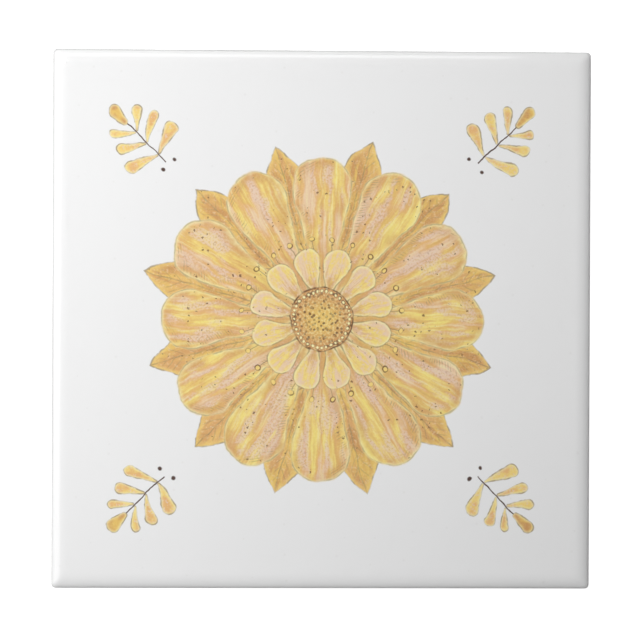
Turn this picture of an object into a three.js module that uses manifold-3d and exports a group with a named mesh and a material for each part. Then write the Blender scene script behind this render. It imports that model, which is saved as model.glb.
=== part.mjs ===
// A square ceramic wall tile that lies on its back with its glazed face up.
//
// The tile is one fired piece. Its face is flat and rolls over into a cushioned edge on all four
// sides. Below the glaze line the sides lean in a little towards the back, as the press die leaves
// them, and end in a small chamfer. The back is a flat rim round a square field of shallow pockets,
// so that the ribs between them key into adhesive.
//
// Units are millimetres and +Z is up. The origin is the centre of the plane that the tile rests on.

import * as THREE from "three";
import { mergeVertices } from "three/addons/utils/BufferGeometryUtils.js";
import Module from "manifold-3d";

// Driving dimensions of the body.
const SIDE = 108; // a 4 1/4 inch tile, measured over the widest part of its edge
const THICKNESS = 6;
const CORNER_RADIUS = 0.85; // in plan, at the widest part of the edge
const FACE_CORNER_RADIUS = 0.3; // in plan, where the flat face begins

// The cushioned edge is a quarter of an ellipse, from the flat face to the widest part of the edge.
const CUSHION_WIDTH = 3.2;
const CUSHION_DROP = 1.2;
const CUSHION_STEPS = 8;

// The pressed side below it.
const SIDE_DRAFT = 0.35; // how far each side leans in by the time it reaches the back
const BACK_CHAMFER = 0.5;

// The back's field of pockets.
const POCKETS_PER_SIDE = 8;
const BACK_RIM = 4.6; // flat rim between the chamfer and the outermost pockets
const RIB_WIDTH = 2.2;
const POCKET_DEPTH = 0.8;
const POCKET_DRAFT = 0.4; // how much narrower a pocket is at its floor, on each side
const POCKET_CORNER_RADIUS = 1.2;

const BODY_CORNER_STEPS = 6;
const POCKET_CORNER_STEPS = 2;
const CUT_OVERLAP = 0.5; // how far a cutter reaches past the face that it cuts

const GLAZE = { color: 0xf3f3f0, roughness: 0.08, metalness: 0 };

// A closed ring of points round a square with rounded corners, at height z, anticlockwise from above.
function squareRing(halfWidth, cornerRadius, z, cornerSteps) {
  const ring = [];
  const straight = halfWidth - cornerRadius;
  for (let corner = 0; corner < 4; corner++) {
    const middle = (corner + 0.5) * (Math.PI / 2);
    const centreX = Math.sign(Math.cos(middle)) * straight;
    const centreY = Math.sign(Math.sin(middle)) * straight;
    for (let step = 0; step <= cornerSteps; step++) {
      const angle = (corner + step / cornerSteps) * (Math.PI / 2);
      const x = centreX + cornerRadius * Math.cos(angle);
      const y = centreY + cornerRadius * Math.sin(angle);
      ring.push(new THREE.Vector3(x, y, z));
    }
  }
  return ring;
}

// A closed solid through rings of equal length, from the lowest to the highest, with flat ends.
function loft(rings) {
  const count = rings[0].length;
  const index = [];
  for (let level = 0; level + 1 < rings.length; level++) {
    for (let i = 0; i < count; i++) {
      const low = level * count + i;
      const lowNext = level * count + ((i + 1) % count);
      index.push(low, lowNext, lowNext + count, low, lowNext + count, low + count);
    }
  }
  const top = (rings.length - 1) * count;
  for (let i = 1; i + 1 < count; i++) {
    index.push(0, i + 1, i);
    index.push(top, top + i, top + i + 1);
  }
  return new THREE.BufferGeometry().setFromPoints(rings.flat()).setIndex(index);
}

// The whole body before the back is cut: chamfer, drafted side, cushioned edge and flat face.
function bodyGeometry() {
  const half = SIDE / 2;
  const backHalf = half - SIDE_DRAFT;
  const widestHeight = THICKNESS - CUSHION_DROP;
  const rings = [
    squareRing(backHalf - BACK_CHAMFER, CORNER_RADIUS, 0, BODY_CORNER_STEPS),
    squareRing(backHalf, CORNER_RADIUS, BACK_CHAMFER, BODY_CORNER_STEPS),
  ];
  for (let step = CUSHION_STEPS; step >= 0; step--) {
    const angle = (step / CUSHION_STEPS) * (Math.PI / 2);
    const outward = Math.sin(angle);
    const halfWidth = half - CUSHION_WIDTH * (1 - outward);
    const radius = THREE.MathUtils.lerp(FACE_CORNER_RADIUS, CORNER_RADIUS, outward);
    const z = widestHeight + CUSHION_DROP * Math.cos(angle);
    rings.push(squareRing(halfWidth, radius, z, BODY_CORNER_STEPS));
  }
  return loft(rings);
}

// What one pocket takes out of the back: wide at its mouth and narrower at its floor.
function pocketGeometry(mouth) {
  const slope = POCKET_DRAFT / POCKET_DEPTH;
  const levels = [-CUT_OVERLAP, POCKET_DEPTH];
  const rings = levels.map((z) =>
    squareRing(mouth / 2 - slope * z, POCKET_CORNER_RADIUS, z, POCKET_CORNER_STEPS),
  );
  return loft(rings);
}

// Where the pockets' centres stand along one axis, and how wide each mouth is.
function pocketLayout() {
  const field = SIDE - 2 * (SIDE_DRAFT + BACK_CHAMFER + BACK_RIM);
  const pitch = (field + RIB_WIDTH) / POCKETS_PER_SIDE;
  const middle = (POCKETS_PER_SIDE - 1) / 2;
  const centres = Array.from({ length: POCKETS_PER_SIDE }, (_, i) => (i - middle) * pitch);
  return { centres, mouth: pitch - RIB_WIDTH };
}

const wasm = await Module();
wasm.setup();

function solidFrom(geometry) {
  const merged = mergeVertices(geometry);
  return new wasm.Manifold(
    new wasm.Mesh({
      numProp: 3,
      vertProperties: new Float32Array(merged.getAttribute("position").array),
      triVerts: new Uint32Array(merged.index.array),
    }),
  );
}

function geometryFrom(solid) {
  const mesh = solid.getMesh();
  const geometry = new THREE.BufferGeometry();
  geometry.setAttribute("position", new THREE.BufferAttribute(mesh.vertProperties, 3));
  geometry.setIndex(new THREE.BufferAttribute(mesh.triVerts, 1));
  geometry.computeVertexNormals();
  return geometry;
}

// The body with every pocket cut from its back.
function tileGeometry() {
  const { centres, mouth } = pocketLayout();
  let tile = solidFrom(bodyGeometry());
  for (const x of centres) {
    for (const y of centres) {
      tile = tile.subtract(solidFrom(pocketGeometry(mouth).translate(x, y, 0)));
    }
  }
  return geometryFrom(tile);
}

const tile = new THREE.Mesh(tileGeometry(), new THREE.MeshStandardMaterial(GLAZE));
tile.name = "tile";

const part = new THREE.Group();
part.add(tile);

export default part;
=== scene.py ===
import math

import bpy
import numpy as np
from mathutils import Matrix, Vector


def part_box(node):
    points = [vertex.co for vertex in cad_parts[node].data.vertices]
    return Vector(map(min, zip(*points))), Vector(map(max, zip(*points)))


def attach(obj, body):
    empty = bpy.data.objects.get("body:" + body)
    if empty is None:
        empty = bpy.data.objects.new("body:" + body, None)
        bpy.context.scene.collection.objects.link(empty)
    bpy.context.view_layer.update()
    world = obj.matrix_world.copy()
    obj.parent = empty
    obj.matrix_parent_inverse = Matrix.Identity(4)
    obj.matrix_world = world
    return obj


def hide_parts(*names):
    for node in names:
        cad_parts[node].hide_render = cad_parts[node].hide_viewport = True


# A square white glazed ceramic tile that lies face up on a pale floor.
#
# It is two pieces that ride together: the clay body, and the coat of glaze fused over its top and
# upper sides. The face carries a printed rosette of petals with a sprig towards each corner, which
# the glaze's own nodes draw. Sizes here are in millimetres, and MM turns them into metres.

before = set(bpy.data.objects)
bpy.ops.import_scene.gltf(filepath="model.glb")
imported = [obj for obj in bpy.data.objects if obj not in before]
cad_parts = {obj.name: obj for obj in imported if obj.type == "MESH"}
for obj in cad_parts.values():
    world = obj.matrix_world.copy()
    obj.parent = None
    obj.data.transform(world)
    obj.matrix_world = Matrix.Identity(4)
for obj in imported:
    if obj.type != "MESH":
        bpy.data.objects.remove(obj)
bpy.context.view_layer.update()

MM = 0.001
cad_low, cad_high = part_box("tile")
SIDE = (cad_high.x - cad_low.x) / MM
THICKNESS = (cad_high.z - cad_low.z) / MM
HALF = SIDE / 2
FULL_TURN = 2 * math.pi

# The glazed face and its cushioned edge, as the CAD solid has them.
CUSHION_WIDTH = 3.2
CUSHION_DROP = 1.2
CORNER_RADIUS = 0.85  # in plan, at the widest part of the edge
FACE_CORNER_RADIUS = 0.3  # in plan, where the flat face begins
FACE_HALF = HALF - CUSHION_WIDTH
WIDEST = THICKNESS - CUSHION_DROP  # height of the widest part of the edge
FACE_SWELL = 0.03  # how far the face rises and falls, which bends what it mirrors

# The glaze's lower edge, on the tile's sides.
GLAZE_LINE = 3.0  # mean height
GLAZE_WANDER = 0.3  # how far the line wanders up and down
GLAZE_RUNS = 9  # places where the coat was thick and ran further down
GLAZE_LEAN = 0.09  # how far the coat leans in on its way down
GLAZE_ROLL = 0.035  # how far it swells out just above its lower edge
GLAZE_LIP = 0.13  # radius of its rounded lower edge
LIP_TURN = math.radians(150)  # how far the lip turns, from facing outwards

# The bare clay below it.
CLAY_INSET = 0.22  # how far the clay lies inside the widest part of the glaze
BACK_INSET = 0.37  # and how far inside it by the time its sides reach the back
BACK_HALF = HALF - BACK_INSET
ARRIS = 0.5  # width and height of the worn edge round the back
CHIPS = 20
SIDE_SWELL = 0.012  # how far the sides' unevenness goes in and out
POCKET_SWELL = 0.03  # how far the pockets' floors rise and fall

# The back's field of pockets, as the CAD solid has them.
POCKETS = 8
SIDE_DRAFT = 0.35  # how far the solid's sides lean in by the time they reach the back
BACK_RIM = 4.6
RIB_WIDTH = 2.2
POCKET_DEPTH = 0.8
POCKET_DRAFT = 0.4  # how much narrower a pocket is at its floor, on each side
POCKET_CORNER = 1.2
POCKET_EDGE = 0.16  # radius of the rounding where a pocket meets the ribs
FIELD = 2 * (HALF - SIDE_DRAFT - ARRIS - BACK_RIM)
PITCH = (FIELD + RIB_WIDTH) / POCKETS
MOUTH = PITCH - RIB_WIDTH

# How finely the surfaces are divided. A fine ring has three points to each one of a coarse ring,
# and a coarse ring has a whole number of points to each pocket.
POCKET_STEPS = 8
COARSE_STEPS = POCKETS * POCKET_STEPS
FINE_STEPS = 3 * COARSE_STEPS
CUSHION_RINGS = 24
CROWDING = 0.35  # draws the points of a ring towards its corners

rng = np.random.default_rng(41)


# ---- Rings and grids of points


def side_point(half, corner, fraction):
    """Points on the +X side of a rounded square, for fractions from -1 at a corner to 1 at the next."""
    straight = half - corner
    length = straight + corner * math.pi / 4
    way = np.abs(fraction) * length
    angle = np.where(way > straight, (way - straight) / np.maximum(corner, 1e-9), 0)
    x = straight + corner * np.cos(angle)
    y = np.minimum(way, straight) + corner * np.sin(angle)
    return x, np.sign(fraction) * y


def crowded(fraction, amount):
    """Draws evenly spread fractions from -1 to 1 towards both ends, the more the larger amount is."""
    return fraction + amount * (fraction - fraction**3)


def turned(x, y, side):
    """Turns points from the +X side to side 0, 1, 2 or 3, anticlockwise."""
    cosine = np.array([1, 0, -1, 0])[side]
    sine = np.array([0, 1, 0, -1])[side]
    return x * cosine - y * sine, x * sine + y * cosine


def ring_points(half, corner, z, steps=FINE_STEPS, crowding=CROWDING):
    """A ring of 4 * steps points round a rounded square, anticlockwise from its +X -Y corner."""
    fraction = crowded(np.tile(np.arange(steps) * 2 / steps - 1, 4), crowding)
    x, y = side_point(half, corner, fraction)
    x, y = turned(x, y, np.repeat(np.arange(4), steps))
    return np.stack([x, y, np.broadcast_to(z, x.shape)], 1)


def grid_points(half_of, corner_of, z_of, steps, crowding=CROWDING):
    """A square grid of points whose rings, from the centre out, are rounded squares.

    half_of, corner_of and z_of give a ring's size and height from its share of the way out.
    """
    middle = steps // 2
    a, b = np.meshgrid(np.arange(-middle, middle + 1), np.arange(-middle, middle + 1))
    ring = np.maximum(np.abs(a), np.abs(b))
    side = np.where(np.abs(a) >= np.abs(b), np.where(a >= 0, 0, 2), np.where(b >= 0, 1, 3))
    along = np.choose(side, [b, -a, -b, a])
    out = ring / middle
    fraction = crowded(along / np.maximum(ring, 1), crowding)
    x, y = side_point(half_of(out), corner_of(out), fraction)
    x, y = turned(x, y, side)
    return np.stack([x.ravel(), y.ravel(), z_of(out).ravel()], 1)


def flat_grid(half, z, steps, corner=0.0, crowding=0.0):
    """A flat square grid at height z, with its outer corners rounded by corner."""

    def half_of(out):
        return half * out

    def corner_of(out):
        return corner * out

    def z_of(out):
        return np.full(out.shape, float(z))

    return grid_points(half_of, corner_of, z_of, steps, crowding)


def grid_edge(steps):
    """Where a grid's outermost points stand in its list, in the order of ring_points."""
    low = np.arange(steps)
    high = steps - low
    row = steps + 1
    return np.concatenate([low * row + steps, steps * row + high, high * row, low])


class Shell:
    """Points and faces gathered part by part, and made into one closed mesh at the end.

    Each point also has a place on the piece's map, which is flat_places where it isn't its own x
    and y. Faces added while hidden is set lie inside another piece, and get a small map of their own.
    """

    def __init__(self):
        self.points = []
        self.flat_places = []
        self.faces = []
        self.face_hidden = []
        self.hidden = False
        self.count = 0

    def add(self, points, flat=None):
        self.points.append(points)
        self.flat_places.append((points if flat is None else flat)[:, :2])
        first = self.count
        self.count += len(points)
        return first + np.arange(len(points))

    def face(self, columns):
        self.faces.extend(np.stack(columns, 1).tolist())
        self.face_hidden.extend([self.hidden] * len(columns[0]))

    def band(self, upper, lower):
        """Joins two rings of equal length. Seen from outside, upper is above lower."""
        self.face([lower, np.roll(lower, -1), np.roll(upper, -1), upper])

    def extend(self, upper, points, flat=None):
        """Adds a ring of points and joins it below the last one."""
        lower = self.add(points, flat)
        self.band(upper, lower)
        return lower

    def grid(self, index, steps, up):
        square = index.reshape(steps + 1, steps + 1)
        corners = [square[:-1, :-1], square[:-1, 1:], square[1:, 1:], square[1:, :-1]]
        corners = [c.ravel() for c in corners]
        self.face(corners if up else corners[::-1])

    def fan(self, coarse, fine, up):
        """Joins a coarse ring to a ring of three times as many points that runs round it."""
        fine = fine.reshape(-1, 3)
        after = np.roll(coarse, -1)
        last = np.roll(fine[:, 0], -1)
        for columns in (
            [coarse, fine[:, 0], fine[:, 1]],
            [coarse, fine[:, 1], fine[:, 2], after],
            [after, fine[:, 2], last],
        ):
            self.face(columns if up else columns[::-1])

    def close(self, outer, half, z, up):
        """Fills a fine ring with a flat coarse grid."""
        index = self.add(flat_grid(half, z, COARSE_STEPS))
        self.grid(index, COARSE_STEPS, up)
        self.fan(index[grid_edge(COARSE_STEPS)], outer, up)

    def make(self, name):
        """A smooth-shaded object of all that was gathered, in metres, with its map."""
        mesh = bpy.data.meshes.new(name)
        self.drop_unused()
        mesh.from_pydata((np.concatenate(self.points) * MM).tolist(), [], self.faces)
        mesh.polygons.foreach_set("use_smooth", np.ones(len(mesh.polygons), bool))
        self.lay_out(mesh)
        made = bpy.data.objects.new(name, mesh)
        bpy.context.scene.collection.objects.link(made)
        return made

    def drop_unused(self):
        """Leaves out the points that no face came to use."""
        used = np.zeros(self.count, bool)
        for face in self.faces:
            used[face] = True
        number = np.cumsum(used) - 1
        self.faces = [number[face].tolist() for face in self.faces]
        self.points = [np.concatenate(self.points)[used]]
        self.flat_places = [np.concatenate(self.flat_places)[used]]

    def lay_out(self, mesh):
        """Puts the shown faces over nearly all of the map, and the hidden ones in its corner."""
        shown_share, hidden_share = 0.975, 0.02
        vertex = np.empty(len(mesh.loops), np.int32)
        mesh.loops.foreach_get("vertex_index", vertex)
        sizes = np.array([len(f) for f in self.faces])
        hidden = np.repeat(np.array(self.face_hidden), sizes)
        flat = np.concatenate(self.flat_places)
        own = np.concatenate(self.points)[:, :2]
        reach = np.abs(flat).max()
        place = (flat[vertex] / reach + 1) / 2 * shown_share
        tucked = 1 - hidden_share + (own[vertex] / reach + 1) / 2 * hidden_share
        place[hidden] = tucked[hidden]
        mesh.uv_layers.new(name="OFBake").data.foreach_set("uv", place.astype(np.float32).ravel())


def swell(points, amount, longest, count=9):
    """A smooth random rise and fall over the plane, mostly within amount of zero."""
    total = np.zeros(len(points))
    for _ in range(count):
        angle, phase = rng.uniform(0, FULL_TURN, 2)
        pace = FULL_TURN / (longest * rng.uniform(0.35, 1))
        way = points[:, 0] * math.cos(angle) + points[:, 1] * math.sin(angle)
        total += np.sin(way * pace + phase)
    return total * amount / math.sqrt(count)


def wander(count, amount, quickest):
    """A smooth random rise and fall round a closed ring, up to amount, in fewer than quickest waves."""
    way = np.arange(count) / count * FULL_TURN
    total = np.zeros(count)
    for pace in range(2, quickest):
        total += rng.normal() * np.sin(way * pace + rng.uniform(0, FULL_TURN)) / math.sqrt(pace)
    return total * amount / np.abs(total).max()


# ---- The coat of glaze

FLAT_SHARE = 1 - CUSHION_RINGS / (FINE_STEPS / 2)  # of the face grid's rings
CUSHION_ARC = math.pi / 2 * math.sqrt((CUSHION_WIDTH**2 + CUSHION_DROP**2) / 2)


def cushion_angle(out):
    """How far a ring of the face grid is round the cushion's quarter of an ellipse."""
    return np.clip((out - FLAT_SHARE) / (1 - FLAT_SHARE), 0, 1) * math.pi / 2


def face_half(out):
    return FACE_HALF * np.minimum(out / FLAT_SHARE, 1) + CUSHION_WIDTH * np.sin(cushion_angle(out))


def face_flat_half(out):
    """The same ring's half width on the map, where the cushion is rolled out flat."""
    flat = FACE_HALF * np.minimum(out / FLAT_SHARE, 1)
    return flat + CUSHION_ARC * cushion_angle(out) / (math.pi / 2)


def face_corner(out):
    flat = FACE_CORNER_RADIUS * np.minimum(out / FLAT_SHARE, 1)
    return flat + (CORNER_RADIUS - FACE_CORNER_RADIUS) * np.sin(cushion_angle(out))


def face_height(out):
    return THICKNESS - CUSHION_DROP * (1 - np.cos(cushion_angle(out)))


def face_grid():
    """The glazed face and its cushioned edge out to the widest part, and their places on the map."""
    points = grid_points(face_half, face_corner, face_height, FINE_STEPS)
    flat = grid_points(face_flat_half, face_corner, face_height, FINE_STEPS)
    # The swell dies away over the last few millimetres before the edge. The face sinks with it, so
    # that next to none of it stands above the CAD solid's.
    fade_width = 6
    inward = HALF - np.maximum(np.abs(points[:, 0]), np.abs(points[:, 1]))
    fade = np.clip(inward / fade_width, 0, 1)
    points[:, 2] += (swell(points, FACE_SWELL / 2, longest=60) - FACE_SWELL) * fade
    return points, flat


def glaze_line():
    """The height of the glaze's lower edge round the tile, with a few runs where it was thick."""
    count = 4 * FINE_STEPS
    line = GLAZE_LINE + wander(count, GLAZE_WANDER, quickest=40)
    place = np.arange(count)
    for _ in range(GLAZE_RUNS):
        away = np.abs((place - rng.integers(count) + count / 2) % count - count / 2)
        drop = rng.uniform(0.2, 0.6)
        width = rng.uniform(5, 14)  # in points of the ring
        line -= drop * np.exp(-((away / width) ** 2))
    return line


def make_glaze():
    shell = Shell()
    face = shell.add(*face_grid())
    shell.grid(face, FINE_STEPS, up=True)
    line = glaze_line()
    upper = glaze_side(shell, face[grid_edge(FINE_STEPS)], line)
    upper = glaze_lip(shell, upper, line)
    # Inside the clay: back up, and across.
    shell.hidden = True
    underside = THICKNESS - 0.8
    for inset, z in ((0.9, line), (1.6, WIDEST - 0.2), (4.5, underside)):
        upper = shell.extend(upper, ring_points(HALF - inset, CORNER_RADIUS, z))
    shell.close(upper, HALF - 6, underside, up=False)
    return shell.make("glaze_coat")


def glaze_side(shell, upper, line):
    """From the widest part down to the lip. The coat swells a little just above its lower edge."""
    rings, roll_place, roll_width = 12, 0.86, 0.12
    for share in np.linspace(0, 1, rings + 1)[1:]:
        roll = GLAZE_ROLL * math.exp(-(((share - roll_place) / roll_width) ** 2))
        half = HALF - GLAZE_LEAN * share + roll
        ring = ring_points(half, CORNER_RADIUS, WIDEST + (line - WIDEST) * share)
        rolled_out = FACE_HALF + CUSHION_ARC + (WIDEST - GLAZE_LINE) * share
        upper = shell.extend(upper, ring, ring_points(rolled_out, CORNER_RADIUS, 0))
    return upper


def glaze_lip(shell, upper, line):
    """Round the lip, and in under it to the clay."""
    rings = 6
    for angle in np.linspace(0, LIP_TURN, rings + 1)[1:]:
        half = HALF - GLAZE_LEAN - GLAZE_LIP * (1 - math.cos(angle))
        ring = ring_points(half, CORNER_RADIUS, line - GLAZE_LIP * math.sin(angle))
        rolled_out = FACE_HALF + CUSHION_ARC + (WIDEST - GLAZE_LINE) + GLAZE_LIP * angle
        upper = shell.extend(upper, ring, ring_points(rolled_out, CORNER_RADIUS, 0))
    return upper


# ---- The clay body


def make_clay():
    shell = Shell()
    corner = CORNER_RADIUS - CLAY_INSET / 2
    # Inside the glaze: across, and over its shoulder.
    shell.hidden = True
    top = THICKNESS - 0.35
    upper = shell.add(ring_points(FACE_HALF, corner, top))
    shell.close(upper, FACE_HALF - 2, top, up=True)
    for inset, z in ((1.2, THICKNESS - 0.75), (0.4, WIDEST)):
        upper = shell.extend(upper, ring_points(HALF - inset, corner, z))
    upper = clay_side(shell, upper, corner)
    upper = worn_edge(shell, upper, corner)
    make_back(shell, upper)
    wear(shell)
    return shell.make("clay_body")


def clay_side(shell, upper, corner):
    """Down the side, from its hidden start under the glaze to the worn edge."""
    rings = 13
    start = WIDEST - 0.5
    rolled_out = BACK_HALF - ARRIS + ARRIS * math.pi / 2 + start - ARRIS
    for share in np.linspace(0, 1, rings + 1):
        half = HALF - CLAY_INSET + (BACK_HALF - HALF + CLAY_INSET) * share
        drop = (start - ARRIS) * share
        flat = ring_points(rolled_out - drop, corner, 0)
        upper = shell.extend(upper, ring_points(half, corner, start - drop), flat)
        shell.hidden = False  # from the second band on
    return upper


def worn_edge(shell, upper, corner):
    """Round the worn edge, from the side to the back."""
    rings = 5
    for angle in np.linspace(0, math.pi / 2, rings + 1)[1:]:
        half = BACK_HALF - ARRIS * (1 - math.cos(angle))
        ring = ring_points(half, corner, ARRIS * (1 - math.sin(angle)))
        flat = ring_points(BACK_HALF - ARRIS + ARRIS * (math.pi / 2 - angle), corner, 0)
        upper = shell.extend(upper, ring, flat)
    return upper


def make_back(shell, outer):
    """The rim and the field of pockets, which close the body from below."""
    field_half = PITCH * POCKETS / 2
    margin, corner, crowding = 1.2, 0.4, 0.1
    ribs = shell.add(flat_grid(field_half, 0, COARSE_STEPS))
    inner = shell.extend(outer, ring_points(field_half + margin, corner, 0, crowding=crowding))
    shell.fan(ribs[grid_edge(COARSE_STEPS)], inner, up=False)
    square = ribs.reshape(COARSE_STEPS + 1, COARSE_STEPS + 1)
    middle = (POCKETS - 1) / 2
    for row in range(POCKETS):
        for column in range(POCKETS):
            rows = slice(row * POCKET_STEPS, (row + 1) * POCKET_STEPS + 1)
            columns = slice(column * POCKET_STEPS, (column + 1) * POCKET_STEPS + 1)
            edge = square[rows, columns].ravel()[grid_edge(POCKET_STEPS)]
            make_pocket(shell, edge, np.array([column - middle, row - middle, 0]) * PITCH)


def make_pocket(shell, upper, centre):
    """One pocket, from the ribs' middle lines to its floor."""
    crowding = 0.15
    floor_half = MOUTH / 2 - POCKET_DRAFT
    for half, z in (
        (MOUTH / 2 + POCKET_EDGE, 0),
        (MOUTH / 2 + POCKET_EDGE * 0.3, POCKET_EDGE * 0.2),
        (MOUTH / 2 - POCKET_EDGE * 0.4, POCKET_EDGE),
        (MOUTH / 2 - POCKET_DRAFT * 0.6, POCKET_DEPTH * 0.6),
        (floor_half, POCKET_DEPTH - POCKET_EDGE),
        (floor_half - POCKET_EDGE * 0.6, POCKET_DEPTH - POCKET_EDGE * 0.2),
    ):
        ring = ring_points(half, POCKET_CORNER, z, POCKET_STEPS, crowding) + centre
        upper = shell.extend(upper, ring)
    floor = flat_grid(floor_half - POCKET_EDGE * 2, POCKET_DEPTH, POCKET_STEPS, POCKET_CORNER, crowding)
    index = shell.add(floor + centre)
    shell.grid(index, POCKET_STEPS, up=False)
    shell.band(upper, index[grid_edge(POCKET_STEPS)])


def wear(shell):
    """Chips along the back's worn edge, and the slight unevenness of the pressed clay."""
    points = np.concatenate(shell.points)
    bare = points[:, 2] < GLAZE_LINE
    for _ in range(CHIPS):
        chip(points, bare)
    # The sides and the worn edge. The height is added in, so that a side isn't fluted.
    slant = 3.1
    depth = swell(points + points[:, 2:] * slant, SIDE_SWELL, longest=7) * bare
    points[:, :2] *= (1 - depth / HALF)[:, None]
    # The pockets' floors.
    from_middle = np.abs(points[:, :2]).max(1)
    on_floor = bare & (points[:, 2] > POCKET_DEPTH * 0.7) & (from_middle < BACK_HALF - 2)
    points[:, 2] += swell(points, POCKET_SWELL, longest=14) * on_floor
    shell.points = [points]
    shell.flat_places = [np.concatenate(shell.flat_places)]


def chip(points, bare):
    """Presses a chip into the worn edge, somewhere along one side."""
    height, inward, upward = 0.1, 0.75, 0.66
    side = rng.integers(4)
    along = rng.uniform(-HALF, HALF)
    x, y = turned(np.array(BACK_HALF), np.array(along), side)
    away = np.linalg.norm(points - np.array([x, y, height]), axis=1)
    depth = rng.uniform(0.06, 0.28)
    reach = rng.uniform(0.45, 1.3)
    bite = depth * np.exp(-((away / reach) ** 2)) * bare
    way = np.array([*turned(np.array(-inward), np.array(0), side), upward])
    points += bite[:, None] * way


# ---- Nodes that read as arithmetic


class Term:
    """A number or colour that a material's nodes work out. Arithmetic on it adds nodes."""

    def __init__(self, paint, socket):
        self.paint = paint
        self.socket = socket

    def __add__(self, other):
        return self.paint.math("ADD", self, other)

    def __sub__(self, other):
        return self.paint.math("SUBTRACT", self, other)

    def __rsub__(self, other):
        return self.paint.math("SUBTRACT", other, self)

    def __mul__(self, other):
        return self.paint.math("MULTIPLY", self, other)

    def __truediv__(self, other):
        return self.paint.math("DIVIDE", self, other)

    def __neg__(self):
        return self * -1.0

    def __abs__(self):
        return self.paint.math("ABSOLUTE", self)

    __radd__ = __add__
    __rmul__ = __mul__


class Paint:
    """One material and the nodes that make it."""

    def __init__(self, name):
        self.material = bpy.data.materials.new(name)
        self.material.use_nodes = True
        self.tree = self.material.node_tree
        self.shader = self.tree.nodes["Principled BSDF"]
        place = self.node("ShaderNodeTexCoord", {}, "Object")
        self.place = self.node("ShaderNodeVectorMath", {0: place, "Scale": 1 / MM}, operation="SCALE")
        self.x, self.y, self.z = self.split(self.place)

    def node(self, kind, inputs, output=0, **settings):
        made = self.tree.nodes.new(kind)
        for name, value in settings.items():
            setattr(made, name, value)
        for name, value in inputs.items():
            if isinstance(value, Term):
                self.tree.links.new(value.socket, made.inputs[name])
            else:
                made.inputs[name].default_value = value
        return Term(self, made.outputs[output])

    def math(self, operation, *values):
        return self.node("ShaderNodeMath", dict(enumerate(values)), operation=operation)

    def high(self, a, b):
        return self.math("MAXIMUM", a, b)

    def length(self, x, y):
        return self.math("SQRT", x * x + y * y)

    def step(self, start, end, value):
        """A smooth step from 0 at start to 1 at end."""
        sockets = {"Value": value, "From Min": start, "From Max": end}
        return self.node("ShaderNodeMapRange", sockets, interpolation_type="SMOOTHSTEP")

    def pick(self, share, a, b):
        """The number a where share is 0, b where it is 1, and between them in between."""
        return self.node("ShaderNodeMix", {0: share, 2: a, 3: b})

    def vector(self, x, y, z=0.0):
        return self.node("ShaderNodeCombineXYZ", {0: x, 1: y, 2: z})

    def split(self, vector):
        made = self.node("ShaderNodeSeparateXYZ", {0: vector}).socket.node
        return [Term(self, socket) for socket in made.outputs]

    def noise(self, vector, size, detail=2.0, output="Fac"):
        """Noise whose lumps are about size across."""
        sockets = {"Vector": vector, "Scale": 1 / size, "Detail": detail}
        return self.node("ShaderNodeTexNoise", sockets, output)

    def cells(self, vector, size, output="Distance", space="2D"):
        """The distance to the nearest of many scattered points, or that point's random colour.

        The points are about size apart, and the distance is in sizes.
        """
        sockets = {"Vector": vector, "Scale": 1 / size}
        return self.node("ShaderNodeTexVoronoi", sockets, output, voronoi_dimensions=space)

    def blend(self, share, under, over):
        """The colour over, laid on the colour under with that share."""
        return self.node("ShaderNodeMix", {0: share, 6: under, 7: over}, 2, data_type="RGBA")

    def bump(self, height, distance, normal=None):
        """The normal of a surface that rises by distance where height goes from 0 to 1."""
        sockets = {"Height": height, "Distance": distance * MM}
        if normal is not None:
            sockets["Normal"] = normal
        return self.node("ShaderNodeBump", sockets)

    def finish(self, base, roughness, normal):
        for name, term in (("Base Color", base), ("Roughness", roughness), ("Normal", normal)):
            self.tree.links.new(term.socket, self.shader.inputs[name])
        return self.material


BRIGHTEST = 0.92  # the most of the light that a colour gives back


def colour(code, lift=1.0):
    """A node colour from an sRGB hex code, made lift times as bright."""
    parts = [int(code[i : i + 2], 16) / 255 for i in (0, 2, 4)]
    linear = [((part + 0.055) / 1.055) ** 2.4 for part in parts]
    return tuple(min(part * lift, BRIGHTEST) for part in linear) + (1.0,)


# ---- The print
#
# A wash or a line is laid on with blend, and its share is mostly a step times a strength. The step's
# first two numbers say where on the noise or inside the shape the wash begins and where it is full.

GLAZE_WHITE = (0.87, 0.87, 0.87, 1.0)
EDGE_SHADE_GREY = (0.635, 0.635, 0.635, 1.0)  # painted shade: the grey laid along the glaze's edges
PINHOLE = (0.45, 0.42, 0.38, 1.0)
LIFT = 1.16  # the print's colours are given as they look when lit, so they are brightened by this
PALE = colour("EEDFAC", LIFT)
LEMON = colour("E6D67C", LIFT)
GOLDEN = colour("E3C87A", LIFT)
OCHRE = colour("D9B768", LIFT)
TAN = colour("DAAE76", LIFT)
BEIGE = colour("DFC3A2", LIFT)
LILAC = colour("D9BFB2", LIFT)
MAUVE = colour("B4978C", LIFT)
RUSSET = colour("C49460", LIFT)
PENCIL = colour("93805E", LIFT)
UMBER = colour("6B4C38", LIFT)
SEPIA = colour("5B4740")

# Starts and reaches are distances out from the rosette's centre.
PETALS = 12
PETAL_START = 5.0
PETAL_REACH = 33.0
PETAL_TIP = 6.25  # radius of a petal's round tip
LEAF_START = 14.0
LEAF_REACH = 36.2
LEAF_HALF_WIDTH = 4.7
GROUND_RADIUS = 16.6  # of the dark wash behind the petals' feet
HEART_RADIUS = 6.3
BEAD_RADIUS = 0.36
BEAD_INSET = 0.75  # from the heart's rim to the beads' middles
SWAY = 1.6  # widest swing of the hand's slow unsteadiness, from side to side
SHAKE = 0.28  # and of its quick one


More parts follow.
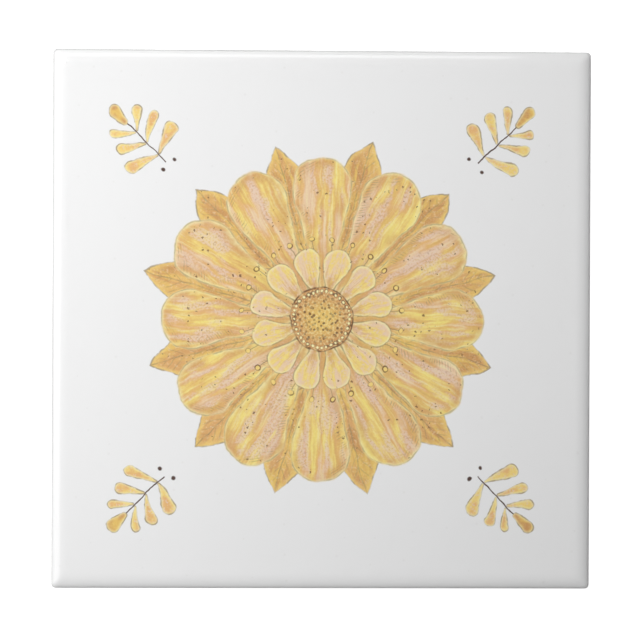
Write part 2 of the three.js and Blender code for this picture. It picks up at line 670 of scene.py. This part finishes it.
class Print(Paint):
    """The glaze's paint, with the strokes and washes that its picture is made of."""

    def __init__(self, name):
        super().__init__(name)
        place = self.vector(self.x, self.y)
        # The hand's unsteadiness, the same for all that it drew.
        sway = self.split(self.noise(place, 6.0, 1.0, "Color"))
        shake = self.split(self.noise(place, 1.1, 1.0, "Color"))
        self.drawn_x = self.x + (sway[0] - 0.5) * SWAY + (shake[0] - 0.5) * SHAKE
        self.drawn_y = self.y + (sway[1] - 0.5) * SWAY + (shake[1] - 0.5) * SHAKE
        self.cloud = self.noise(place, 8.0, 3.0)
        self.grain = self.noise(place, 0.42, 2.0)
        self.bloom = self.noise(place, 1.0, 3.0)
        self.broken = self.step(0.36, 0.62, self.noise(place, 2.2, 2.0))
        self.specks = self.scatter(place)

    def scatter(self, place):
        """Small ragged dark specks in loose clusters."""
        spacing = 1.3
        crooked = self.shaken(place, 0.4, 0.75)
        near = self.cells(crooked, spacing)
        chance = self.split(self.cells(crooked, spacing, "Color"))
        radius = 0.08 + 0.13 * chance[1]  # in spacings
        cluster = self.step(0.48, 0.56, self.noise(place, 5.5, 1.0))
        return self.step(radius, radius * 0.5, near) * self.step(0.5, 0.56, chance[0] * cluster)

    def shaken(self, place, size, amount):
        """The place jolted by up to half of amount, in lumps about size across."""
        jolt = self.noise(place, size, 1.0, "Color")
        jolt = self.node("ShaderNodeVectorMath", {0: jolt, "Scale": amount}, operation="SCALE")
        return self.node("ShaderNodeVectorMath", {0: place, 1: jolt}, operation="ADD")

    def hatching(self, along, across, spacing):
        """Fine slanting pencil strokes, side by side, which break off here and there."""
        slant = 0.7
        run = self.math("FRACT", (along + across * slant) / spacing)
        unbroken = self.step(0.44, 0.6, self.noise(self.place, 1.3, 2.0))
        return self.step(0.24, 0.08, abs(run - 0.5)) * unbroken

    def random(self, number, salt):
        """A number from 0 to 1 that differs from petal to petal."""
        return self.node("ShaderNodeTexWhiteNoise", {"W": number + salt}, 0, noise_dimensions="1D")

    def teardrop(self, x, y, start, end, start_radius, end_radius):
        """How far inside a round-ended teardrop a point is: negative outside it."""
        run = math.dist(start, end)
        way = ((end[0] - start[0]) / run, (end[1] - start[1]) / run)
        x, y = x - start[0], y - start[1]
        along = x * way[0] + y * way[1]
        across = abs(y * way[0] - x * way[1])
        slope = (start_radius - end_radius) / run
        level = math.sqrt(1 - slope * slope)
        side = across * level + along * slope
        near = self.length(along, across)
        far = self.length(along - run, across)
        place = along * level - across * slope
        before = self.math("LESS_THAN", place, 0.0)
        after = self.math("GREATER_THAN", place, level * run)
        outside = self.pick(before, side - start_radius, near - start_radius)
        return -self.pick(after, outside, far - end_radius)

    def lens(self, x, y, start, end, half_width):
        """How far inside a pointed leaf along the x axis a point is: negative outside it."""
        half = (end - start) / 2
        radius = (half * half + half_width * half_width) / (2 * half_width)
        return radius - self.length(x - (start + half), abs(y) + (radius - half_width))

    def fold(self, count, turn=0.0, uneven=0.0):
        """Folds the drawing into one of count equal sectors: along its middle, across it, its number.

        Each sector is stretched, and leans about a point some way out, by its own share of uneven.
        """
        hinge = 12.0
        angle = self.math("ARCTAN2", self.drawn_y, self.drawn_x) - turn
        step = FULL_TURN / count
        sector = self.math("ROUND", angle / step)
        local = angle - sector * step
        number = self.math("FLOORED_MODULO", sector, float(count))
        stretch = 1.0 + (self.random(number, 3.1) - 0.5) * uneven
        radius = self.length(self.drawn_x, self.drawn_y) * stretch
        along = radius * self.math("COSINE", local)
        lean = (self.random(number, 9.7) - 0.5) * uneven
        across = radius * self.math("SINE", local) + (along - hinge) * lean
        return along, across, number

    def streaks(self, along, across, number, length, width):
        """Noise drawn out along a petal."""
        return self.noise(self.vector(along / length, across / width, number * 5.3), 1.0, 2.0)

    def fill(self, under, inside, wash, soft=0.13):
        """A wash laid inside a shape, with a soft edge and the paper's grain in it."""
        wash = self.blend(self.step(0.48, 0.7, self.grain) * 0.13, wash, PALE)
        wash = self.blend(self.step(0.48, 0.34, self.grain) * 0.1, wash, RUSSET)
        inset = 0.09
        return self.blend(self.step(inset - soft, inset + soft, inside), under, wash)

    def outline(self, under, inside, width, strength, ink=PENCIL, inset=0.05):
        """A pencil line just inside a shape's edge, which thins and fades here and there."""
        width = width * (0.7 + 0.4 * self.broken)
        line = self.step(width, width * 0.3, abs(inside - inset))
        return self.blend(line * (0.25 + 0.75 * self.broken) * strength, under, ink)


def glaze_material():
    p = Print("glaze_with_print")
    picture = sprigs(p, rosette(p, GLAZE_WHITE))
    face = p.step(THICKNESS - 0.5, THICKNESS - 0.2, p.z)
    base = p.blend(face, GLAZE_WHITE, picture)
    # Painted shade: greys the glaze along its edges, darkest towards the back left corner and along the
    # left edge.
    base = p.blend(painted_edge_shade(p), base, EDGE_SHADE_GREY)
    hole = pinholes(p) * face
    base = p.blend(hole * 0.08, base, PINHOLE)

    normal = p.bump(p.noise(p.place, 2.2, 2.0), 0.003)
    normal = p.bump(p.noise(p.place, 11.0, 1.0), 0.02, normal)
    normal = p.bump(1.0 - hole, 0.006, normal)
    roughness = 0.05 + 0.03 * p.noise(p.place, 14.0, 3.0) + hole * 0.1
    p.shader.inputs["IOR"].default_value = 1.52
    return p.finish(base, roughness, normal)


def painted_edge_shade(p):
    """How strongly a painted shade greys the glaze, from just above the widest part of the edge on
    down.

    The painted shade is darkest along the edges towards the back left corner and along the left
    edge, and faint elsewhere.
    """
    near_corner = p.step(22.0, -60.0, p.x - p.y)
    left_edge = p.step(-52.0, -54.0, p.x)
    share = 0.06 + 0.76 * near_corner + 0.17 * left_edge
    return p.step(WIDEST + 0.68, WIDEST + 0.38, p.z) * share


def pinholes(p):
    """Pinholes in the glaze, a few millimetres apart: 1 inside them and 0 outside."""
    spacing = 6.5
    near = p.cells(p.place, spacing)
    chance = p.split(p.cells(p.place, spacing, "Color"))
    radius = 0.035 + 0.035 * chance[1]  # in spacings
    return p.step(radius, radius * 0.2, near) * p.step(0.4, 0.45, chance[0])


def rosette(p, under):
    """The rosette, from its back leaves to its centre."""
    half_step = math.pi / PETALS
    radius = p.length(p.drawn_x, p.drawn_y)
    ground = p.blend(p.step(16.5, 9.0, radius), TAN, RUSSET)
    under = p.fill(under, GROUND_RADIUS - radius, ground)
    under = back_leaves(p, under, half_step)
    under = large_petals(p, under)
    under = stamens(p, under, half_step)
    under = small_petals(p, under, half_step)
    return heart(p, under, radius)


def back_leaves(p, under, turn):
    """The pointed leaves that show between the petals."""
    along, across, number = p.fold(PETALS, turn, uneven=0.05)
    inside = p.lens(along, across, LEAF_START, LEAF_REACH, LEAF_HALF_WIDTH)
    leaf = p.blend(p.step(0.36, 0.62, p.streaks(along, across, number, 7.0, 1.0)), OCHRE, RUSSET)
    leaf = p.blend(p.step(0.42, 0.62, p.cloud) * 0.5, leaf, TAN)
    leaf = p.blend(p.step(1.3, 0.3, inside) * 0.55, leaf, GOLDEN)
    leaf = p.blend(p.step(0.5, 0.62, p.bloom) * p.step(0.45, 0.62, p.grain) * 0.45, leaf, BEIGE)
    # The leaf's side veins, which slant from its middle one towards the tip.
    slant, spacing = 1.5, 2.1
    run = p.math("FRACT", (along - abs(across) * slant) / spacing)
    side_vein = p.step(0.16, 0.05, abs(run - 0.5)) * p.step(0.5, 1.2, inside)
    vein = p.high(side_vein * 0.35, p.step(0.2, 0.06, abs(across)) * 0.6)
    leaf = p.blend(vein * (0.3 + 0.7 * p.broken), leaf, PENCIL)
    leaf = p.blend(p.specks * 0.7, leaf, UMBER)
    under = p.fill(under, inside, leaf)
    return p.outline(under, inside, 0.2, 0.75)


def large_petals(p, under):
    """The round-tipped petals: washes, grain and a pale rim, with specks and pencil over them."""
    along, across, number = p.fold(PETALS, uneven=0.05)
    start, end, start_radius = (PETAL_START, 0.0), (PETAL_REACH - PETAL_TIP, 0.0), 0.4
    inside = p.teardrop(along, across, start, end, start_radius, PETAL_TIP)
    wash = petal_wash(p, along, across, number)
    # A darker wash pools inside the rim, and at the petal's foot.
    pool = p.step(3.4, 1.0, inside) * p.step(0.4, 0.6, p.cloud) * 0.6
    wash = p.blend(p.high(pool, p.step(17.5, 10.0, along) * 0.6), wash, RUSSET)
    wash = grainy(p, wash, inside, p.streaks(along, across, number + 40.0, 9.0, 2.2))
    rim = 0.95 + (p.streaks(along, across, number + 70.0, 5.0, 5.0) - 0.5) * 3.0
    wash = p.blend(p.step(rim, rim * 0.1, inside) * (0.4 + 0.4 * p.broken), wash, PALE)
    shaded = p.step(0.4, 0.9, inside) * p.step(2.6, 1.2, inside) * p.step(0.3, 1.0, across)
    wash = p.blend(p.hatching(along, across, 0.62) * shaded * 0.45, wash, PENCIL)
    wash = p.blend(p.specks * p.step(0.3, 0.7, inside) * 0.85, wash, UMBER)
    under = p.fill(under, inside, wash, soft=0.3)
    rib = p.step(0.24, 0.08, abs(across)) * p.step(12.0, 15.0, along) * p.step(28.0, 22.0, along)
    under = p.blend(rib * (0.1 + 0.4 * p.broken), under, RUSSET)
    return p.outline(under, inside, 0.2, 0.5, inset=0.2)


def petal_wash(p, along, across, number):
    """Washes that run along a petal, from lemon on its lit side to tan on the other."""
    broad = p.streaks(along, across, number, 10.0, 2.0)
    fine = p.streaks(along, across, number, 6.0, 0.45)
    warmth = broad + (p.random(number, 5.9) - 0.5) * 0.1 + across * 0.014 + (p.bloom - 0.5) * 0.12
    wash = p.blend(0.2 + 0.8 * p.step(0.3, 0.46, warmth), LEMON, GOLDEN)
    wash = p.blend(p.step(0.39, 0.53, warmth), wash, OCHRE)
    wash = p.blend(p.step(0.45, 0.6, warmth), wash, TAN)
    wash = p.blend(p.step(0.55, 0.7, warmth), wash, BEIGE)
    wash = p.blend(p.step(0.5, 0.3, fine) * 0.45, wash, PALE)
    return p.blend(p.step(0.5, 0.72, fine) * 0.35, wash, RUSSET)


def grainy(p, wash, inside, patches):
    """Lets a lilac wash settle in patches, in the grain of the paper."""
    patch = p.step(0.47, 0.6, patches + (p.bloom - 0.5) * 0.14) * p.step(0.7, 2.2, inside)
    wash = p.blend(patch * (0.4 + 0.35 * p.step(0.42, 0.6, p.grain)), wash, LILAC)
    wash = p.blend(patch * p.step(0.48, 0.36, p.grain) * 0.3, wash, RUSSET)
    return p.blend(patch * p.step(0.48, 0.36, p.bloom) * p.step(0.56, 0.42, p.grain) * 0.5, wash, MAUVE)


def stamens(p, under, turn):
    """Fine stalks with round heads between the small petals."""
    stalk_middle, stalk_half_length, stalk_half_width = 13.2, 2.4, 0.13
    head_middle, head_radius = 16.1, 0.55
    along, across, _ = p.fold(2 * PETALS, turn / 2)
    stalk = stalk_half_width - p.high(abs(across), abs(along - stalk_middle) - stalk_half_length)
    under = p.blend(p.step(0.0, 0.1, stalk) * 0.7, under, PENCIL)
    head = head_radius - p.length(along - head_middle, across)
    under = p.fill(under, head, GOLDEN)
    return p.outline(under, head, 0.17, 0.9, UMBER)


def small_petals(p, under, turn):
    """The ring of small petals round the centre."""
    along, across, number = p.fold(PETALS, turn, uneven=0.04)
    start, end, start_radius, end_radius = (6.0, 0.0), (11.7, 0.0), 0.75, 2.75
    inside = p.teardrop(along, across, start, end, start_radius, end_radius)
    broad = p.streaks(along, across, number, 4.0, 0.9) + across * 0.03
    wash = p.blend(p.step(0.42, 0.64, broad), GOLDEN, BEIGE)
    wash = p.blend(p.step(0.48, 0.32, broad) * 0.5, wash, LEMON)
    wash = p.blend(p.step(9.8, 6.2, along) * 0.75, wash, RUSSET)
    strokes = p.streaks(along, across, number + 20.0, 5.0, 0.28)
    wash = p.blend(p.step(0.5, 0.62, strokes) * p.step(13.4, 8.5, along) * 0.5, wash, RUSSET)
    wash = p.blend(p.step(0.47, 0.6, p.bloom) * (0.2 + 0.4 * p.step(0.45, 0.62, p.grain)), wash, LILAC)
    wash = p.blend(p.step(0.9, 0.1, inside) * (0.4 + 0.4 * p.broken), wash, PALE)
    wash = p.blend(p.specks * 0.8, wash, UMBER)
    under = p.fill(under, inside, wash)
    return p.outline(under, inside, 0.2, 0.6)


def heart(p, under, radius):
    """The stippled centre in a ring of beads."""
    inside = HEART_RADIUS - radius
    wash = p.blend(p.step(1.0, 5.6, radius), OCHRE, RUSSET)
    wash = p.blend(p.step(0.46, 0.64, p.grain) * 0.4, wash, PALE)
    seeds = p.cells(p.vector(p.drawn_x, p.drawn_y), 0.95)
    wash = p.blend(p.step(0.34, 0.2, seeds) * (0.35 + 0.5 * p.broken), wash, UMBER)
    under = p.fill(under, inside, wash)
    under = p.outline(under, inside, 0.22, 0.9, UMBER)
    along, across, _ = p.fold(3 * PETALS)
    bead = BEAD_RADIUS - p.length(along - HEART_RADIUS + BEAD_INSET, across)
    under = p.fill(under, bead, PALE)
    return p.outline(under, bead, 0.14, 0.7, UMBER)


def sprigs(p, under):
    """A small sprig towards each corner: a stem, three pairs of leaves, a bud and two berries."""
    out_x, out_y = abs(p.drawn_x), abs(p.drawn_y)
    diagonal = (out_x + out_y) * math.sqrt(0.5)
    sideways = abs(out_x - out_y) * math.sqrt(0.5)
    stem_middle, stem_half_length, stem_half_width = 50.0, 5.5, 0.15
    stem = stem_half_width - p.high(sideways, abs(diagonal - stem_middle) - stem_half_length)
    under = p.blend(p.step(-0.03, 0.08, stem), under, SEPIA)
    tint = p.noise(p.place, 2.6, 3.0)
    leaf = p.blend(p.step(0.4, 0.6, tint), GOLDEN, TAN)
    leaf = p.blend(p.step(0.47, 0.6, p.bloom) * p.step(0.45, 0.62, p.grain) * 0.7, leaf, LILAC)
    bud = p.blend(p.step(0.42, 0.62, tint), OCHRE, RUSSET)
    # The middles of each teardrop's two round ends, along the diagonal and sideways, and their radii.
    for foot, tip, foot_radius, tip_radius, wash in (
        ((46.4, 0.4), (48.2, 5.6), 0.25, 1.3, leaf),
        ((49.8, 0.4), (52.4, 4.6), 0.25, 1.15, leaf),
        ((52.8, 0.4), (55.6, 3.3), 0.25, 0.95, leaf),
        ((55.6, 0.0), (58.6, 0.0), 0.7, 1.35, bud),
    ):
        inside = p.teardrop(diagonal, sideways, foot, tip, foot_radius, tip_radius)
        wash = p.blend(p.step(0.7, 0.1, inside) * 0.6, wash, PALE)
        under = p.fill(under, inside, wash)
        under = p.outline(under, inside, 0.18, 0.8)
    berry_diagonal, berry_sideways, berry_radius = 43.6, 1.7, 0.5
    berry = berry_radius - p.length(diagonal - berry_diagonal, sideways - berry_sideways)
    return p.blend(p.step(-0.05, 0.22, berry), under, SEPIA)


# ---- The bare clay

CREAM = (0.77, 0.69, 0.57, 1.0)
BUFF = (0.70, 0.60, 0.48, 1.0)
CHALK = (0.86, 0.82, 0.74, 1.0)
WALL_FOOT_BROWN = (0.50, 0.42, 0.33, 1.0)
PIT = (0.33, 0.26, 0.19, 1.0)
IRON = (0.25, 0.14, 0.07, 1.0)


def clay_material():
    p = Paint("fired_clay")
    broad = p.noise(p.place, 16.0, 4.0)
    fine = p.noise(p.place, 0.5, 3.0)
    body = p.blend(p.step(0.35, 0.65, broad), CREAM, BUFF)
    body = p.blend(p.step(0.35, 0.7, fine) * 0.35, body, CHALK)
    body = marked_back(p, body)
    body = hazed_side(p, body)

    pit_spacing, fleck_spacing = 0.9, 4.5
    near = p.cells(p.place, pit_spacing, space="3D")
    chance = p.split(p.cells(p.place, pit_spacing, "Color", space="3D"))
    pit = p.step(0.22, 0.08, near) * p.step(0.6, 0.7, chance[0])
    body = p.blend(pit * 0.6, body, PIT)
    fleck = p.step(0.08, 0.04, p.cells(p.place, fleck_spacing, space="3D"))
    body = p.blend(fleck * 0.7, body, IRON)

    normal = p.bump(fine, 0.05)
    normal = p.bump(p.noise(p.place, 3.5, 3.0), 0.08, normal)
    normal = p.bump(1.0 - pit, 0.12, normal)
    roughness = 0.8 + 0.15 * broad
    return p.finish(body, roughness, normal)


def marked_back(p, under):
    """Kiln wash smeared over the ribs and the rim, and darker patches along the foot of the pockets'
    walls.
    """
    smear = p.noise(p.vector(p.x / 12.0, p.y / 1.3), 1.0, 4.0)
    raised = p.step(0.2, 0.04, p.z)
    under = p.blend(raised * p.step(0.46, 0.62, smear) * 0.7, under, CHALK)
    from_middle = [abs(p.math("FRACT", way / PITCH) - 0.5) * PITCH for way in (p.x, p.y)]
    foot = p.step(MOUTH / 2 - 3.0, MOUTH / 2 - 0.5, p.high(*from_middle))
    sunk = p.step(0.3, 0.7, p.z) * p.step(BACK_HALF - 1, BACK_HALF - 2, p.high(abs(p.x), abs(p.y)))
    # Darker towards the foot of the pockets' walls, deep in the pockets.
    return p.blend(sunk * foot * p.step(0.34, 0.6, p.noise(p.place, 4.0, 4.0)) * 0.55, under, WALL_FOOT_BROWN)


def hazed_side(p, under):
    """A haze of glaze on the sides just below the coat's edge."""
    outside = p.step(BACK_HALF - 2, BACK_HALF - 1, p.high(abs(p.x), abs(p.y)))
    height = p.z + p.noise(p.place, 2.4, 3.0) * 1.2
    return p.blend(outside * p.step(2.2, 3.5, height) * 0.55, under, GLAZE_WHITE)


# ---- The studio

WHITE = (1.0, 1.0, 1.0, 1.0)

LEFT_RADIANCE = 2.0
BACK_RADIANCE = 2.4
CORNER_RADIANCE = 11.3
FILL_RADIANCE = 0.8
SKY_RADIANCE = 0.17  # straight above, fading to nothing at the horizon

FLOOR_HALF = 3000.0
FLOOR_DROP = 0.01  # how far it lies below the tile, so that the two don't share a plane
FLOOR_GREY = (0.5, 0.5, 0.5, 1.0)
FLOOR_GLOW = 0.97

CAMERA_LENS = 85.0
CAMERA_SENSOR = 36.0
CAMERA_PLACE = (-4.974, -0.164, 310.22)
CAMERA_TURN = (-0.071, -0.944, 0.241)  # degrees about X, Y and Z


def aim(made, target):
    """Turns a light or camera so that it looks at the target."""
    way = Vector(target) * MM - made.location
    made.rotation_mode = "QUATERNION"
    made.rotation_quaternion = way.to_track_quat("-Z", "Y")


def softbox(name, place, target, size, radiance, spread=180):
    """A soft area light that the camera doesn't see, as strong as a surface of that radiance.

    A spread below 180 degrees is a grid over it, which narrows its beam and keeps its power.
    """
    width, height = size
    data = bpy.data.lights.new(name, "AREA")
    data.shape = "RECTANGLE"
    data.size = width * MM
    data.size_y = height * MM
    data.energy = radiance * math.pi * width * height * MM * MM
    data.spread = math.radians(spread)
    made = bpy.data.objects.new(name, data)
    made.location = Vector(place) * MM
    aim(made, target)
    made.visible_camera = False
    bpy.context.scene.collection.objects.link(made)


def make_softboxes():
    """Two softboxes that the cushioned edge mirrors, a gridded one for the face, and a low fill.

    The gridded one stands between the first two, and the fill stands opposite it, for the sides.
    """
    softbox("left_softbox", (-194, 0, 148), (-HALF, 0, 5), (300, 120), LEFT_RADIANCE)
    softbox("back_softbox", (-18, 242, 225), (-18, HALF, 5), (193, 72), BACK_RADIANCE)
    softbox("corner_softbox", (-275, 285, 640), (-26, 27, 0), (150, 150), CORNER_RADIANCE, spread=86)
    softbox("fill_softbox", (360, -360, 75), (0, 0, 3), (600, 140), FILL_RADIANCE)


def camera_sees(nodes, links, shown, otherwise):
    """A mix of two shaders: the first for what the camera sees, the second for what lights the tile."""
    path = nodes.new("ShaderNodeLightPath")
    mix = nodes.new("ShaderNodeMixShader")
    links.new(path.outputs["Is Camera Ray"], mix.inputs[0])
    links.new(otherwise.outputs[0], mix.inputs[1])
    links.new(shown.outputs[0], mix.inputs[2])
    return mix


def make_world():
    """A soft sky, brightest overhead. The camera sees plain white in its place."""
    world = bpy.data.worlds.new("studio")
    world.use_nodes = True
    nodes, links = world.node_tree.nodes, world.node_tree.links
    sky = nodes["Background"]
    sky.inputs["Color"].default_value = WHITE
    place = nodes.new("ShaderNodeTexCoord")
    axes = nodes.new("ShaderNodeSeparateXYZ")
    height = nodes.new("ShaderNodeMath")
    height.operation = "MULTIPLY"
    height.use_clamp = True
    height.inputs[1].default_value = SKY_RADIANCE
    links.new(place.outputs["Generated"], axes.inputs[0])
    links.new(axes.outputs["Z"], height.inputs[0])
    links.new(height.outputs[0], sky.inputs["Strength"])
    shown = nodes.new("ShaderNodeBackground")
    shown.inputs["Color"].default_value = WHITE
    mix = camera_sees(nodes, links, shown, sky)
    links.new(mix.outputs[0], nodes["World Output"].inputs["Surface"])
    bpy.context.scene.world = world


def make_floor():
    """A grey floor that lights the tile as paper would, and that glows white for the camera alone."""
    half = FLOOR_HALF * MM
    mesh = bpy.data.meshes.new("floor")
    corners = [(-half, -half, 0), (half, -half, 0), (half, half, 0), (-half, half, 0)]
    mesh.from_pydata(corners, [], [(0, 1, 2, 3)])
    made = bpy.data.objects.new("floor", mesh)
    made.location.z = -FLOOR_DROP * MM
    bpy.context.scene.collection.objects.link(made)
    material = bpy.data.materials.new("pale_floor")
    material.use_nodes = True
    nodes, links = material.node_tree.nodes, material.node_tree.links
    paper = nodes["Principled BSDF"]
    paper.inputs["Base Color"].default_value = FLOOR_GREY
    paper.inputs["Roughness"].default_value = 1.0
    glow = nodes.new("ShaderNodeEmission")
    glow.inputs["Strength"].default_value = FLOOR_GLOW
    both = nodes.new("ShaderNodeAddShader")
    links.new(paper.outputs[0], both.inputs[0])
    links.new(glow.outputs[0], both.inputs[1])
    mix = camera_sees(nodes, links, both, paper)
    links.new(mix.outputs[0], nodes["Material Output"].inputs["Surface"])
    mesh.materials.append(material)


def make_camera():
    """A camera almost straight above the tile."""
    data = bpy.data.cameras.new("camera")
    data.lens = CAMERA_LENS
    data.sensor_width = CAMERA_SENSOR
    data.clip_start = 10 * MM
    made = bpy.data.objects.new("camera", data)
    made.location = Vector(CAMERA_PLACE) * MM
    made.rotation_euler = [math.radians(a) for a in CAMERA_TURN]
    bpy.context.scene.collection.objects.link(made)
    bpy.context.scene.camera = made


make_camera()
glaze = make_glaze()
clay = make_clay()
glaze.data.materials.append(glaze_material())
clay.data.materials.append(clay_material())

for piece, slot in ((glaze, "glaze"), (clay, "biscuit")):
    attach(piece, "root")
    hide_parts("tile")

make_world()
make_floor()
make_softboxes()
bpy.context.scene.view_settings.view_transform = "Standard"
